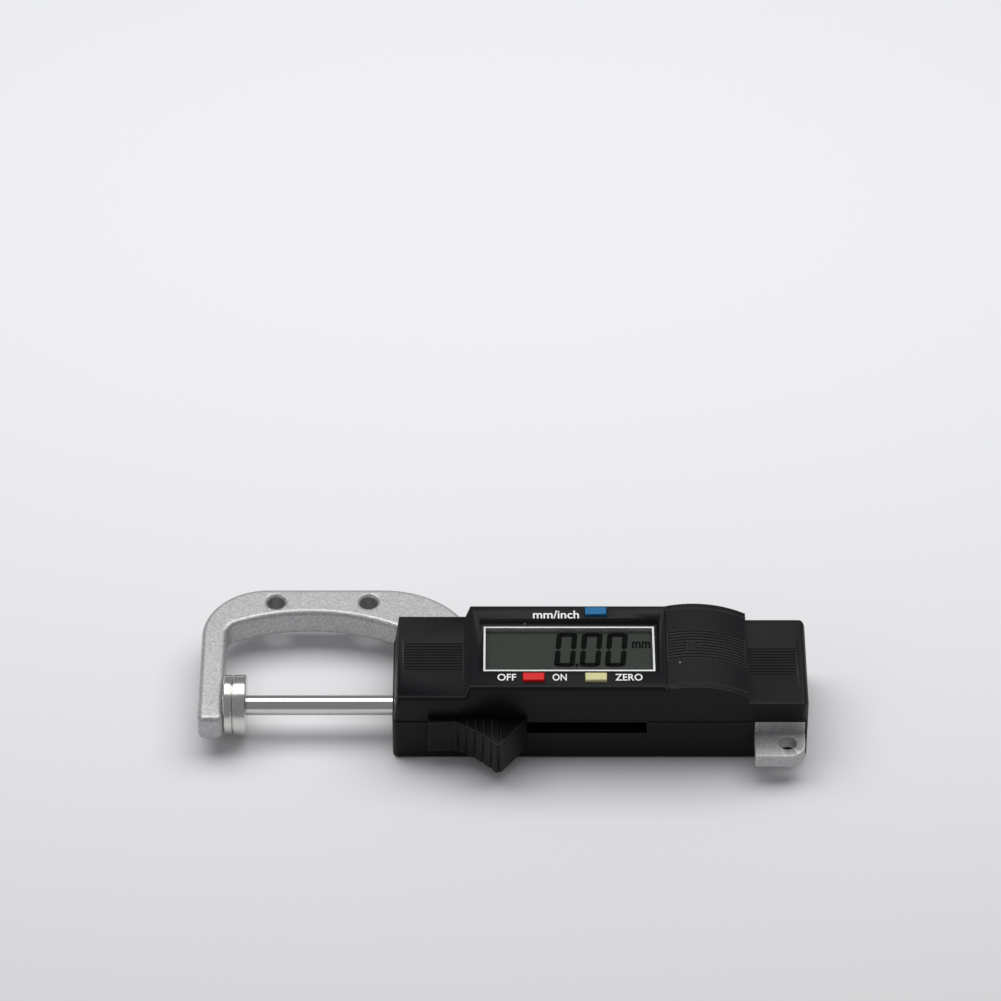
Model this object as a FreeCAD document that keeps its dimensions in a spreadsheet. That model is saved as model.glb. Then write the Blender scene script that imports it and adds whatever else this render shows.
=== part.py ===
import FreeCAD, Part
import math
import os
import re

# A pocket outside micrometer with a digital display, lying on its back with its jaws closed.
# Every sub-part is drawn in the tool's own coordinates, in millimetres: X runs along the spindle
# from the anvil's measuring face to the tail, Y points from the spindle to the top of the bow,
# and Z comes out of the display. Each sub-part's Placement then moves the origin to the middle
# of the underside of the whole tool.

doc = FreeCAD.newDocument("OutsideMicrometer")

# ---------------------------------------------------------------- driving dimensions
DIMENSIONS = {
    "origin_x": 53.9,
    "origin_y": 7.5,
    "origin_z": -7.0,
    # die-cast frame
    "plate_half": 3.0,
    "leg_left": -6.8,
    "leg_right": -1.8,
    "leg_bottom": -7.0,
    "foot_radius": 1.5,
    "bow_top": 30.7,
    "bow_left_radius": 13.0,
    "bow_right_radius": 19.5,
    "bow_right_centre": 29.8,
    "arch_crown_x": 15.0,
    "arch_crown_y": 23.6,
    "arch_radius": 39.0,
    "arch_corner": 3.2,
    "frame_edge": 1.1,
    "hole_left_x": 7.9,
    "hole_spacing": 18.8,
    "hole_y": 26.75,
    "hole_radius": 1.8,
    "sink_radius": 2.3,
    "sink_depth": 0.5,
    "spine_low": 7.0,
    "spine_high": 14.6,
    "block_left": 34.0,
    "block_right": 41.5,
    "block_low": -4.5,
    "rear_left": 82.6,
    "rear_right": 87.0,
    "boss_radius": 4.4,
    "tail_left": 104.0,
    "tail_right": 113.2,
    "lug_right": 114.0,
    "lug_x": 110.5,
    "lug_y": -10.6,
    "lug_low": -14.3,
    # spindle and its guides
    "disc_radius": 6.1,
    "anvil_thick": 1.8,
    "tip_thick": 2.8,
    "disc_edge": 0.3,
    "shank_radius": 2.5,
    "shank_end": -6.0,
    "rod_radius": 2.0,
    "rod_end": 87.5,
    "spigot_radius": 1.2,
    "spigot_start": 1.2,
    "running": 0.05,
    "seat": 0.02,
    "bush_radius": 3.0,
    "travel": 25.0,
    # shells
    "case_left": 32.0,
    "case_top_left": 33.1,
    "case_right": 114.6,
    "case_low": -7.8,
    "case_high": 16.0,
    "case_middle": 4.1,
    "case_width": 23.8,
    "case_back": -7.0,
    "parting": 3.0,
    "lip": 0.2,
    "wall": 1.0,
    "back_wall": 1.2,
    "face_wall": 1.5,
    "shoulder_top": 9.6,
    "shoulder_right": 46.4,
    "display_left": 47.4,
    "display_top": 12.5,
    "display_right": 86.3,
    "hump_crown_x": 92.0,
    "hump_crown_z": 12.8,
    "hump_radius": 21.5,
    "hump_right": 102.6,
    "tail_top": 8.2,
    "case_edge": 0.8,
    "tail_edge": 1.2,
    "rim": 1.2,
    "slot_left": 46.6,
    "slot_low": 0.0,
    # grip grooves
    "groove_pitch": 0.8,
    "groove_width": 0.4,
    "groove_depth": 0.25,
    "groove_count": 10.0,
    # display
    "recess_left": 49.3,
    "recess_right": 85.2,
    "recess_low": -3.3,
    "recess_high": 11.9,
    "recess_floor": 11.4,
    "window_left": 50.1,
    "window_right": 84.2,
    "window_low": -2.1,
    "window_high": 10.6,
    "bezel_width": 0.42,
    "bezel_top": 11.65,
    "glass_top": 11.3,
    "glass_thick": 0.7,
    "lcd_top": 10.5,
    "lcd_thick": 1.4,
    # electronics
    "board_low": 5.0,
    "board_thick": 0.8,
    "board_left": 47.6,
    "board_right": 85.0,
    "dome_radius": 0.95,
    "dome_height": 0.45,
    "chip_left": 61.0,
    "chip_right": 68.0,
    "chip_low": 1.0,
    "chip_high": 8.0,
    "chip_thick": 0.9,
    # buttons
    "button_long": 4.3,
    "button_wide": 2.1,
    "button_proud": 0.7,
    "button_gap": 0.1,
    "button_row_low": -5.0,
    "button_row_high": 13.65,
    "power_x": 60.05,
    "zero_x": 72.4,
    "unit_x": 72.55,
    "button_travel": 0.35,
    # battery and its cover
    "cell_x": 94.5,
    "cell_radius": 5.8,
    "cell_low": 4.4,
    "cell_thick": 5.4,
    "deck_low": 7.0,
    "well_floor": 4.0,
    "well_gap": 0.2,
    "cover_gap": 0.1,
    "cover_bottom": 8.25,
    "tongue_low": 8.9,
    "tongue_thick": 0.55,
    "tongue_reach": 0.6,
    "arrow_left": 90.6,
    "arrow_right": 93.6,
    "arrow_half": 1.6,
    # carriage and thumb slide
    "carriage_left": 45.2,
    "carriage_right": 57.0,
    "carriage_half": 4.0,
    "carriage_low": -3.2,
    "carriage_top": 3.0,
    "slide_left": 39.1,
    "slide_right": 58.8,
    "slide_inner": -8.1,
    "slide_bar": -9.4,
    "slide_peak_x": 53.0,
    "slide_peak_y": -15.7,
    "flank_start": 44.6,
    "flank_mid_x": 49.2,
    "flank_mid_y": -12.3,
    "rib_first": 44.9,
    "rib_count": 6.0,
    "rib_pitch": 1.66,
    "rib_width": 0.5,
    "rib_depth": 0.4,
    "rib_top_depth": 0.25,
    "slide_low": -3.5,
    "slide_top": 4.4,
    "stem_left": 47.0,
    "stem_right": 57.5,
    "tongue_high": -0.9,
    "tongue_thick_z": 0.9,
    "slide_screw_left": 50.0,
    "slide_screw_right": 54.5,
    "slide_screw_y": -3.0,
    "clamp_screw_x": 51.0,
    # fasteners
    "screw_radius": 0.9,
    "screw_head": 1.75,
    "screw_head_thick": 1.1,
    "screw_boss": 1.5,
    "small_screw_radius": 0.55,
    "small_screw_head": 1.1,
    "case_screw_long": 12.5,
    "board_screw_long": 3.2,
    "cross_wide": 0.3,
    "cross_deep": 0.4,
}

sheet = doc.addObject("Spreadsheet::Sheet", "Sizes")
for row, (alias, number) in enumerate(DIMENSIONS.items(), start=1):
    sheet.set("A%d" % row, alias)
    sheet.set("B%d" % row, str(number))
    sheet.setAlias("B%d" % row, alias)
doc.recompute()

CASE_SCREWS = [("39.0", "11.5"), ("43.3", "-5.0"), ("88.3", "12.6"), ("101.0", "-4.8")]
BOARD_SCREWS = [("50.2", "13.0"), ("83.2", "13.0"), ("83.2", "-5.0")]
SLIDE_SCREWS = ("slide_screw_left", "slide_screw_right")
SPINE_RESTS = ("60.0", "75.0", "97.0")
BUTTONS = {
    "power_button": ("power_x", "button_row_low"),
    "zero_button": ("zero_x", "button_row_low"),
    "unit_button": ("unit_x", "button_row_high"),
}

ALONG_X = FreeCAD.Rotation(FreeCAD.Vector(0, 1, 0), 90)
ALONG_Z = FreeCAD.Rotation()

sub_parts = []


# ---------------------------------------------------------------- drawing tools
def bound(text):
    """The text as an expression that reads the dimension sheet."""
    return re.sub(r"[a-z]\w*", lambda word: "Sizes." + word.group(), str(text))


def size(name):
    """A dimension's present value, for outlines that are drawn point by point."""
    return float(sheet.get(name))


def bind(thing, places=None, **sizes):
    """Ties a feature's position and sizes to expressions of the sheet's dimensions."""
    for axis, text in zip("xyz", places or ()):
        thing.setExpression("Placement.Base." + axis, bound(text))
    for name, text in sizes.items():
        thing.setExpression(name, bound(text))
    return thing


def sub_part(thing, label):
    """Names a finished sub-part and moves it from the tool's coordinates to the model's origin."""
    thing.Label = label
    bind(thing, ("-origin_x", "-origin_y", "-origin_z"))
    sub_parts.append(thing)
    return thing


def new_body(label):
    return sub_part(doc.addObject("PartDesign::Body", label + "_body"), label)


def box(body, kind, name, x, y, z):
    """An additive or subtractive box between three pairs of limits."""
    made = body.newObject("PartDesign::%sBox" % kind, name)
    bind(made, (x[0], y[0], z[0]))
    for side, (low, high) in zip(("Length", "Width", "Height"), (x, y, z)):
        made.setExpression(side, bound("(%s) - (%s)" % (high, low)))
    return made


def cylinder(body, kind, name, radius, start, length, turn=ALONG_Z):
    """An additive or subtractive cylinder from its start point, along the turned Z axis."""
    made = body.newObject("PartDesign::%sCylinder" % kind, name)
    made.Placement = FreeCAD.Placement(FreeCAD.Vector(), turn)
    return bind(made, start, Radius=radius, Height=length)


def sketch(body, name, role, offset="0"):
    """A sketch on one of the body's origin planes, moved along that plane's normal."""
    made = body.newObject("Sketcher::SketchObject", name)
    plane = next(item for item in body.Origin.OriginFeatures if item.Role == role)
    made.AttachmentSupport = (plane, [""])
    made.MapMode = "FlatFace"
    made.setExpression("AttachmentOffset.Base.z", bound(offset))
    return made


def outline(drawing, points):
    """A closed outline. A point with four numbers ends an arc that passes through the first two."""
    start = points[-1][-2:]
    for point in points:
        end = point[-2:]
        ends = [FreeCAD.Vector(*start, 0), FreeCAD.Vector(*end, 0)]
        if len(point) == 4:
            ends.insert(1, FreeCAD.Vector(*point[:2], 0))
            drawing.addGeometry(Part.ArcOfCircle(*ends))
        else:
            drawing.addGeometry(Part.LineSegment(*ends))
        start = end
    return drawing


def pad(body, name, drawing, length, both_ways=False):
    made = body.newObject("PartDesign::Pad", name)
    made.Profile = drawing
    made.Midplane = both_ways
    return bind(made, Length=length)


def pocket(body, name, drawing, length):
    made = body.newObject("PartDesign::Pocket", name)
    made.Profile = drawing
    return bind(made, Length=length)


def turned(body, name, points):
    """A solid of revolution about the spindle's axis, from an outline of X and radius."""
    drawing = outline(sketch(body, name + "_outline", "XY_Plane"), points)
    made = body.newObject("PartDesign::Revolution", name)
    made.Profile = drawing
    made.ReferenceAxis = (drawing, ["H_Axis"])
    return made


def edges_where(feature, test):
    """The names of a feature's edges whose ends and middle all pass a test of X, Y and Z."""
    names = []
    for number, edge in enumerate(feature.Shape.Edges, start=1):
        middle = edge.valueAt((edge.FirstParameter + edge.LastParameter) / 2)
        places = [vertex.Point for vertex in edge.Vertexes] + [middle]
        if all(test(place.x, place.y, place.z) for place in places):
            names.append("Edge%d" % number)
    return names


def round_edges(body, name, radius, test):
    doc.recompute()
    base = body.Tip
    made = body.newObject("PartDesign::Fillet", name)
    made.Base = (base, edges_where(base, test))
    return bind(made, Radius=radius)


def near(value, target):
    return abs(value - target) < 0.001


def row_of(body, feature, count, pitch):
    """Repeats the last feature along +Y."""
    pattern = body.newObject("PartDesign::LinearPattern", feature.Name + "_row")
    pattern.Originals = [feature]
    axis = next(item for item in body.Origin.OriginFeatures if item.Role == "Y_Axis")
    pattern.Direction = (axis, [""])
    pattern.Mode = "Spacing"
    bind(pattern, Offset=pitch)
    pattern.Occurrences = count
    body.Tip = pattern
    return pattern


def hump_height(x, inset=0.0):
    """The height of the battery hump's arc at X, or of an arc that lies inset below it."""
    radius = size("hump_radius")
    centre = size("hump_crown_z") - radius
    return centre + math.sqrt((radius - inset) ** 2 - (x - size("hump_crown_x")) ** 2)


def hump_arc(left, right, inset=0.0):
    """The hump's arc from X left to right, as one outline point with its middle."""
    middle = (left + right) / 2
    return (middle, hump_height(middle, inset), right, hump_height(right, inset))


GROOVE_LOW = "case_middle - groove_pitch * (groove_count - 1) / 2 - groove_width / 2"
GROOVES = int(size("groove_count"))


# ---------------------------------------------------------------- frame
def make_frame():
    """One casting: bow with the anvil's leg, spine inside the case, guide blocks and tail lug."""
    body = new_body("frame")
    arch_low = size("arch_crown_y") - size("arch_radius")
    corner = size("arch_corner")
    reach = size("arch_radius") - corner

    def arch_corner(wall_x, side):
        """The round corner between a straight wall and the arch: first, middle, last point."""
        centre_x = wall_x - side * corner
        rise = math.sqrt(reach**2 - (centre_x - size("arch_crown_x")) ** 2)
        centre_y = arch_low + rise
        lean = math.atan2(rise, centre_x - size("arch_crown_x"))
        level = 0.0 if side > 0 else math.pi
        half = (lean + level) / 2
        return [
            (centre_x + corner * math.cos(angle), centre_y + corner * math.sin(angle))
            for angle in (level, half, lean)
        ]

    right_low, right_mid, right_high = arch_corner(size("block_left"), 1)
    left_low, left_mid, left_high = arch_corner(size("leg_right"), -1)
    left, bottom, top = size("leg_left"), size("leg_bottom"), size("bow_top")
    big, wide = size("bow_left_radius"), size("bow_right_radius")
    wide_x, wide_y = size("bow_right_centre"), top - wide
    spine_low, spine_high = size("spine_low"), size("spine_high")
    meet_x = wide_x + math.sqrt(wide**2 - (spine_high - wide_y) ** 2)
    diagonal = math.sqrt(0.5)
    foot = size("foot_radius")
    inset = foot * (1 - diagonal)
    lug_x, lug_y, lug_low = size("lug_x"), size("lug_y"), size("lug_low")
    lug_round = size("lug_right") - lug_x
    lug_turn = lug_low + lug_round
    points = [
        (left, top - big),
        (left + big * (1 - diagonal), top - big * (1 - diagonal), left + big, top),
        (wide_x, top),
        (wide_x + wide * diagonal, wide_y + wide * diagonal, meet_x, spine_high),
        (size("tail_right"), spine_high),
        (size("tail_right"), size("case_low") + size("wall")),
        (size("lug_right"), size("case_low") + size("wall")),
        (size("lug_right"), lug_turn),
        (lug_x + lug_round * diagonal, lug_turn - lug_round * diagonal, lug_x, lug_low),
        (size("tail_left"), lug_low),
        (size("tail_left"), spine_low),
        (size("rear_right"), spine_low),
        (size("rear_right"), size("block_low")),
        (size("rear_left"), size("block_low")),
        (size("rear_left"), spine_low),
        (size("block_right"), spine_low),
        (size("block_right"), size("block_low")),
        (size("block_left"), size("block_low")),
        right_low,
        (*right_mid, *right_high),
        (size("arch_crown_x"), size("arch_crown_y"), *left_high),
        (*left_mid, *left_low),
        (size("leg_right"), bottom + foot),
        (size("leg_right") - inset, bottom + inset, size("leg_right") - foot, bottom),
        (left + foot, bottom),
        (left + inset, bottom + inset, left, bottom + foot),
    ]
    drawing = outline(sketch(body, "frame_outline", "XY_Plane"), points)
    pad(body, "frame_plate", drawing, "2 * plate_half", both_ways=True)

    def on_bow(x, y, z):
        outside = x < size("block_left") + 0.01 or y > spine_high - 0.01
        return outside and near(abs(z), size("plate_half")) and x < meet_x + 0.01 and y > bottom - 1

    round_edges(body, "bow_edges", "frame_edge", on_bow)
    for side, (start, end) in {
        "front": ("block_left", "block_right"),
        "rear": ("rear_left", "rear_right"),
    }.items():
        begin = (start, 0, 0)
        span = "%s - %s" % (end, start)
        cylinder(body, "Additive", side + "_boss", "boss_radius", begin, span, ALONG_X)
        cylinder(body, "Subtractive", side + "_bore", "bush_radius + seat", begin, span, ALONG_X)
    cylinder(
        body, "Subtractive", "tail_bore", "rod_radius + 0.4", ("tail_left", 0, 0),
        "tail_right - tail_left + 1", ALONG_X,
    )
    cylinder(
        body, "Subtractive", "anvil_seat", "shank_radius + seat", ("shank_end", 0, 0),
        "leg_right - shank_end", ALONG_X,
    )
    box(
        body, "Subtractive", "lug_step", ("tail_left - 1", "lug_right + 1"),
        ("lug_low - 1", "case_low"), ("0", "plate_half + 1"),
    )
    through = ("-plate_half - 1", "2 * plate_half + 2")
    holes = [("hole_left_x", "hole_y"), ("hole_left_x + hole_spacing", "hole_y")]
    for number, (x, y) in enumerate(holes):
        name = "bow_hole_%d" % number
        cylinder(body, "Subtractive", name, "hole_radius", (x, y, through[0]), through[1])
        sink = body.newObject("PartDesign::SubtractiveCone", "bow_sink_%d" % number)
        bind(
            sink, (x, y, "plate_half - sink_depth"),
            Radius1="hole_radius", Radius2="sink_radius", Height="sink_depth",
        )
    lug_start = ("lug_x", "lug_y", through[0])
    cylinder(body, "Subtractive", "lug_hole", "hole_radius", lug_start, through[1])
    for number in (0, 2):
        x, y = CASE_SCREWS[number]
        start = (x, y, through[0])
        name = "case_screw_hole_%d" % number
        cylinder(body, "Subtractive", name, "screw_radius + 0.2", start, through[1])


# ---------------------------------------------------------------- measuring faces and spindle
def disc_rim(low, high):
    """The chamfered rim of a measuring disc between X low and high."""
    radius, edge = size("disc_radius"), size("disc_edge")
    return [(low, radius - edge), (low + edge, radius), (high - edge, radius), (high, radius - edge)]


def make_anvil():
    """Hardened disc with a shank that is pressed into the leg of the bow."""
    back, end, shank = -size("anvil_thick"), size("shank_end"), size("shank_radius")
    points = [(end, 0.0), (end, shank), (back, shank), *disc_rim(back, 0.0), (0.0, 0.0)]
    turned(new_body("anvil"), "anvil_turning", points)


def make_spindle_tip():
    """Hardened disc with a blind hole for the rod's spigot."""
    body = new_body("spindle_tip")
    thick = size("tip_thick")
    turned(body, "tip_turning", [(0.0, 0.0), *disc_rim(0.0, thick), (thick, 0.0)])
    cylinder(
        body, "Subtractive", "spigot_hole", "spigot_radius + seat", ("spigot_start", 0, 0),
        "tip_thick", ALONG_X,
    )


def make_spindle_rod():
    """Ground rod with a spigot for the tip. It slides and doesn't turn."""
    spigot, rod, end = size("spigot_radius"), size("rod_radius"), size("rod_end")
    edge = size("disc_edge")
    points = [
        (size("spigot_start"), 0.0), (size("spigot_start"), spigot), (size("tip_thick"), spigot),
        (size("tip_thick"), rod), (end - edge, rod), (end, rod - edge), (end, 0.0),
    ]
    turned(new_body("spindle_rod"), "rod_turning", points)


def make_ring(label, start, length, outer, inner):
    """A bush or a seal round the spindle rod."""
    body = new_body(label)
    cylinder(body, "Additive", label + "_ring", outer, (start, 0, 0), length, ALONG_X)
    cylinder(body, "Subtractive", label + "_hole", inner, (start, 0, 0), length, ALONG_X)


# ---------------------------------------------------------------- shells
def make_front_housing():
    """Upper shell: shoulder, raised display field, rims of the battery hump and tail block."""
    body = new_body("front_housing")
    middle = "-case_middle"
    left, right = size("display_right"), size("hump_right")
    points = [
        (size("case_left") + size("lip"), size("parting")),
        (size("case_top_left"), size("shoulder_top")),
        (size("shoulder_right"), size("shoulder_top")),
        (size("display_left"), size("display_top")),
        (left, size("display_top")),
        (left, size("tail_top")),
        (size("case_right"), size("tail_top")),
        (size("case_right"), size("parting")),
    ]
    drawing = outline(sketch(body, "side_outline", "XZ_Plane", middle), points)
    pad(body, "outer_form", drawing, "case_width", both_ways=True)
    low, high = size("case_low"), size("case_high")

    def display_and_shoulder(x, y, z):
        at_side = near(y, low) or near(y, high)
        step_middle = (size("display_top") + size("tail_top")) / 2
        level = z > size("tail_top") + 0.01 and not near(z, step_middle)
        return at_side and x < left + 0.01 and (level or x < size("case_top_left") + 0.01)

    round_edges(body, "side_edges", "case_edge", display_and_shoulder)

    def tail_end(x, y, z):
        at_side = near(y, low) or near(y, high)
        return near(x, size("case_right")) and (near(z, size("tail_top")) or at_side)

    round_edges(body, "tail_edges", "tail_edge", tail_end)
    hump = [
        (left, size("tail_top")), (left, hump_height(left)),
        hump_arc(left, right), (right, size("tail_top")),
    ]
    drawing = outline(sketch(body, "hump_outline", "XZ_Plane", middle), hump)
    pad(body, "hump_form", drawing, "case_width", both_ways=True)

    inner_y = ("case_low + wall", "case_high - wall")
    box(
        body, "Subtractive", "shoulder_space", ("block_left - 0.1", "display_left + wall"),
        inner_y, ("parting - 1", "shoulder_top - face_wall"),
    )
    box(
        body, "Subtractive", "display_space", ("display_left + wall", "display_right - wall"),
        inner_y, ("parting - 1", "display_top - face_wall"),
    )
    box(
        body, "Subtractive", "deck_space", ("display_right", "hump_right - wall"),
        inner_y, ("parting - 1", "deck_low"),
    )
    box(
        body, "Subtractive", "rear_boss_relief", ("rear_left - 0.1", "rear_right + 0.1"),
        ("-boss_radius - 0.1", "boss_radius + 0.1"), ("parting - 1", "boss_radius + 0.1"),
    )
    box(
        body, "Subtractive", "tail_space", ("hump_right", "case_right - back_wall"),
        inner_y, ("parting - 1", "tail_top - face_wall"),
    )
    box(
        body, "Subtractive", "cover_space", ("display_right", "hump_right + 1"),
        ("case_low + rim", "case_high - rim"), ("tail_top", "hump_crown_z + 1"),
    )
    box(
        body, "Subtractive", "cover_groove", ("display_right", "hump_right + 1"),
        ("case_low + rim - tongue_reach - cover_gap", "case_high - rim + tongue_reach + cover_gap"),
        ("tongue_low - 0.05", "tongue_low + tongue_thick + 0.05"),
    )
    cylinder(
        body, "Additive", "well_wall", "cell_radius + well_gap + wall",
        ("cell_x", "case_middle", "parting"), "deck_low - parting + 0.5",
    )
    cylinder(
        body, "Subtractive", "well", "cell_radius + well_gap",
        ("cell_x", "case_middle", "well_floor"), "tail_top",
    )
    box(
        body, "Subtractive", "contact_slot",
        ("cell_x + cell_radius - 0.6", "cell_x + cell_radius + 0.9"),
        ("case_middle - 1.7", "case_middle + 1.7"), ("well_floor", "tail_top + 1"),
    )
    boss_tops = ["shoulder_top - face_wall", "shoulder_top - face_wall", "deck_low", "deck_low"]
    for number, ((x, y), top) in enumerate(zip(CASE_SCREWS, boss_tops)):
        start = (x, y, "parting")
        height = "%s - parting" % top
        name = "case_boss_%d" % number
        cylinder(body, "Additive", name, "screw_boss", start, height + " + 0.2")
        cylinder(body, "Subtractive", name + "_hole", "screw_radius + seat", start, height)
    for number, (x, y) in enumerate(BOARD_SCREWS):
        start = (x, y, "board_low + board_thick")
        height = "display_top - face_wall - board_low - board_thick"
        name = "board_boss_%d" % number
        cylinder(body, "Additive", name, "screw_boss", start, height + " + 0.2")
        cylinder(body, "Subtractive", name + "_hole", "small_screw_radius + seat", start, "3")
    box(
        body, "Subtractive", "display_recess", ("recess_left", "recess_right"),
        ("recess_low", "recess_high"), ("recess_floor", "display_top + 1"),
    )
    box(
        body, "Subtractive", "display_opening", ("window_left", "window_right"),
        ("window_low", "window_high"), ("parting", "display_top"),
    )
    for name, (x, y) in BUTTONS.items():
        box(
            body, "Subtractive", name + "_hole",
            (x + " - button_long / 2 - button_gap", x + " + button_long / 2 + button_gap"),
            (y + " - button_wide / 2 - button_gap", y + " + button_wide / 2 + button_gap"),
            ("parting + 4", "display_top + 1"),
        )
    for name, x, top in (
        ("shoulder_groove", ("case_top_left + 1.1", "shoulder_right - 0.4"), "shoulder_top"),
        ("tail_groove", ("hump_right + 0.4", "case_right - 2.1"), "tail_top"),
    ):
        groove = box(
            body, "Subtractive", name, x, (GROOVE_LOW, "(%s) + groove_width" % GROOVE_LOW),
            (top + " - groove_depth", top + " + 1"),
        )
        row_of(body, groove, GROOVES, "groove_pitch")


def make_back_cover():
    """Lower shell: a deep tray with a slot for the thumb slide's stem and notches for the frame."""
    body = new_body("back_cover")
    outer_x = ("case_left", "case_right")
    outer_y = ("case_low - lip", "case_high")
    box(body, "Additive", "outer_form", outer_x, outer_y, ("case_back", "parting"))
    x_ends = (size("case_left"), size("case_right"))
    y_ends = (size("case_low") - size("lip"), size("case_high"))

    def upright_corner(x, y, z):
        return any(near(x, end) for end in x_ends) and any(near(y, end) for end in y_ends)

    round_edges(body, "corner_edges", "tail_edge", upright_corner)
    round_edges(body, "bottom_edges", "case_edge", lambda x, y, z: near(z, size("case_back")))
    box(
        body, "Subtractive", "inner_space", ("case_left + back_wall", "case_right - back_wall"),
        ("case_low - lip + back_wall", "case_high - back_wall"),
        ("case_back + face_wall", "parting + 1"),
    )
    box(
        body, "Subtractive", "slide_slot", ("slot_left", "stem_right + travel + 0.2"),
        ("case_low - 1", "case_low + 2 * back_wall"), ("slot_low", "parting + 1"),
    )
    box(
        body, "Subtractive", "lug_notch", ("tail_left - 0.05", "lug_right + 0.05"),
        ("case_low - 1", "case_low + 2 * back_wall"), ("-plate_half", "parting + 1"),
    )
    box(
        body, "Subtractive", "bow_notch",
        ("block_left - 0.05", "bow_right_centre + bow_right_radius - 0.2"),
        ("case_high - 2 * back_wall", "case_high + 1"), ("-plate_half", "parting + 1"),
    )
    hole = ("case_left - 1", 0, 0)
    cylinder(body, "Subtractive", "rod_hole", "rod_radius + 0.4", hole, "back_wall + 2", ALONG_X)
    boss_tops = ["-plate_half", "parting", "-plate_half", "parting"]
    for number, ((x, y), top) in enumerate(zip(CASE_SCREWS, boss_tops)):
        floor = (x, y, "case_back + 0.2")
        name = "screw_post_%d" % number
        radius = "screw_boss + 0.5" if number in (0, 2) else "screw_boss"
        cylinder(body, "Additive", name, radius, floor, "%s - case_back - 0.2" % top)
        under = (x, y, "case_back - 1")
        cylinder(body, "Subtractive", name + "_hole", "screw_radius + 0.1", under, "case_screw_long")
        sink = "screw_head_thick + 1.2"
        cylinder(body, "Subtractive", name + "_sink", "screw_head + 0.1", under, sink)
    for number, x in enumerate(SPINE_RESTS):
        box(
            body, "Additive", "spine_rest_%d" % number, (x + " - 0.6", x + " + 0.6"),
            ("spine_low + 0.5", "case_high - 0.5"), ("case_back + 0.5", "-plate_half"),
        )


def make_battery_cover():
    """Arched slide with grip grooves and a raised arrow; two tongues run in the housing's rims."""
    body = new_body("battery_cover")
    left = size("display_right") + size("cover_gap")
    right = size("hump_right")
    points = [
        (left, size("cover_bottom")), (left, hump_height(left)),
        hump_arc(left, right), (right, size("cover_bottom")),
    ]
    drawing = outline(sketch(body, "cover_outline", "XZ_Plane", "-case_middle"), points)
    width = "case_width - 2 * rim - 2 * cover_gap"
    pad(body, "cover_form", drawing, width, both_ways=True)
    box(
        body, "Additive", "tongues", ("display_right + 0.7", "hump_right - 0.5"),
        ("case_low + rim + cover_gap - tongue_reach", "case_high - rim - cover_gap + tongue_reach"),
        ("tongue_low", "tongue_low + tongue_thick"),
    )
    box(
        body, "Subtractive", "cell_channel", ("display_right - 1", "cell_x + cell_radius + 0.6"),
        ("case_middle - cell_radius - 0.3", "case_middle + cell_radius + 0.3"),
        ("cover_bottom - 1", "cell_low + cell_thick + 0.3"),
    )
    start, end = left + 0.4, right - 0.4
    depth = size("groove_depth")
    band = [
        (start, hump_height(start, depth)), hump_arc(start, end, depth),
        (end, size("hump_crown_z") + 1), (start, size("hump_crown_z") + 1),
    ]
    offset = "-(%s) - groove_width" % GROOVE_LOW
    drawing = outline(sketch(body, "groove_outline", "XZ_Plane", offset), band)
    groove = pocket(body, "cover_groove", drawing, "groove_width")
    row_of(body, groove, GROOVES, "groove_pitch")
    tail_x, middle, half = size("arrow_left"), size("case_middle"), size("arrow_half")
    corners = [(tail_x, middle - half), (size("arrow_right"), middle), (tail_x, middle + half)]
    arrow = outline(sketch(body, "arrow_outline", "XY_Plane", "hump_crown_z - 0.6"), corners)
    pad(body, "arrow", arrow, "0.6 + 0.05")


# ---------------------------------------------------------------- display and electronics
def make_display():
    """Bright ring round the window, clear window, display panel and its two contact strips."""
    ring = new_body("display_bezel")
    opening_x = ("window_left", "window_right")
    opening_y = ("window_low", "window_high")
    inside_x = ("window_left + bezel_width", "window_right - bezel_width")
    inside_y = ("window_low + bezel_width", "window_high - bezel_width")
    glass_z = ("glass_top - glass_thick", "glass_top")
    box(ring, "Additive", "ring_form", opening_x, opening_y, ("lcd_top", "bezel_top"))
    box(ring, "Subtractive", "ring_opening", inside_x, inside_y, ("lcd_top", "bezel_top"))
    box(new_body("display_window"), "Additive", "window_pane", inside_x, inside_y, glass_z)
    box(
        new_body("lcd_panel"), "Additive", "panel", ("window_left - 0.6", "window_right + 0.4"),
        ("window_low - 0.5", "window_high + 0.5"), ("lcd_top - lcd_thick", "lcd_top"),
    )
    strips = new_body("contact_strips")
    for number, edge in enumerate(("window_low - 0.3", "window_high - 0.7")):
        box(
            strips, "Additive", "strip_%d" % number, ("window_left + 2", "window_right - 2"),
            (edge, edge + " + 1"), ("board_low + board_thick", "lcd_top - lcd_thick"),
        )


def make_electronics():
    """Circuit board with its processor, the snap domes under the buttons and the encoder strip."""
    board = new_body("circuit_board")
    board_z = ("board_low", "board_low + board_thick")
    box(
        board, "Additive", "board_plate", ("board_left", "board_right"),
        ("case_low + wall + 0.1", "case_high - wall - 0.1"), board_z,
    )
    for number, (x, y) in enumerate(BOARD_SCREWS):
        start = (x, y, "board_low - 1")
        name = "board_hole_%d" % number
        cylinder(board, "Subtractive", name, "small_screw_radius + 0.1", start, "4")
    box(
        new_body("processor_chip"), "Additive", "package", ("chip_left", "chip_right"),
        ("chip_low", "chip_high"),
        ("board_low + board_thick", "board_low + board_thick + chip_thick"),
    )
    domes = new_body("switch_domes")
    for name, (x, y) in BUTTONS.items():
        start = (x, y, "board_low + board_thick")
        cylinder(domes, "Additive", name + "_dome", "dome_radius", start, "dome_height")
    strip = new_body("encoder_strip")
    box(
        strip, "Additive", "strip", ("carriage_left", "carriage_right"), ("-0.6", "carriage_half"),
        ("carriage_top", "carriage_top + 0.6"),
    )


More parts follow.
